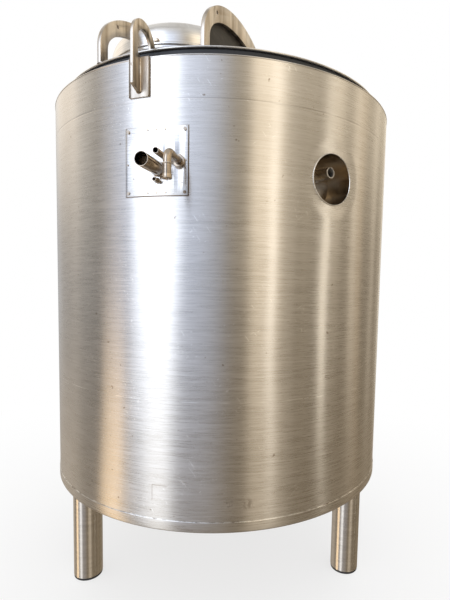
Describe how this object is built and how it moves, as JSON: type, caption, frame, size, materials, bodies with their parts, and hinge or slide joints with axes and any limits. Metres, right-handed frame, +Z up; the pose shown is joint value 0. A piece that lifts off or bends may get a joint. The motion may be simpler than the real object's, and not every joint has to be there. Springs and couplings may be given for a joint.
{
  "type": "vertical storage tank",
  "caption": "Insulated stainless steel storage tank on tubular legs, with a domed manway cover, arched lifting plates, a connection panel and a round recess.",
  "frame": {"origin": "middle of the whole footprint, on the floor", "axes": "+Z up; -Y is the front, with the connection panel and the round recess; the tank's own axis stands 0.051 m behind the origin"},
  "size_m": [1.2836, 1.385, 1.9653],
  "materials": {
    "brushed_steel": "fine horizontal brushing",
    "polished_steel": "polished, slightly soft reflections",
    "lug_steel": "warm brushed plate with bright cut edges",
    "dark_steel": "dark brown sheet, slightly glossy",
    "black_rubber": "matt black"
  },
  "bodies": {
    "root": {"arch_left": "lug_steel", "arch_right": "lug_steel", "arch_web": "dark_steel", "base_tray": "brushed_steel", "cladding": "brushed_steel", "cover_ring": "brushed_steel", "drain_pipe": "lug_steel", "elbow_collar": "lug_steel", "elbow_ferrule": "lug_steel", "elbow_pipe": "lug_steel", "fill_pipe": "lug_steel", "foot_left": "black_rubber", "foot_rear": "black_rubber", "foot_right": "black_rubber", "leg_left": "brushed_steel", "leg_plate_left": "brushed_steel", "leg_plate_rear": "brushed_steel", "leg_plate_right": "brushed_steel", "leg_rear": "brushed_steel", "leg_right": "brushed_steel", "lid_plate": "polished_steel", "lifting_lug_front": "lug_steel", "lifting_lug_rear": "lug_steel", "lug_pad_front": "lug_steel", "lug_pad_rear": "lug_steel", "manway_dome": "polished_steel", "manway_flange": "polished_steel", "manway_neck": "polished_steel", "recess_nozzle": "polished_steel", "recess_sleeve": "polished_steel", "sample_pipe": "lug_steel", "seal_band": "black_rubber", "service_panel": "brushed_steel", "vessel_bottom": "polished_steel", "vessel_skirt": "brushed_steel", "vessel_wall": "polished_steel"}
  },
  "joints": []
}
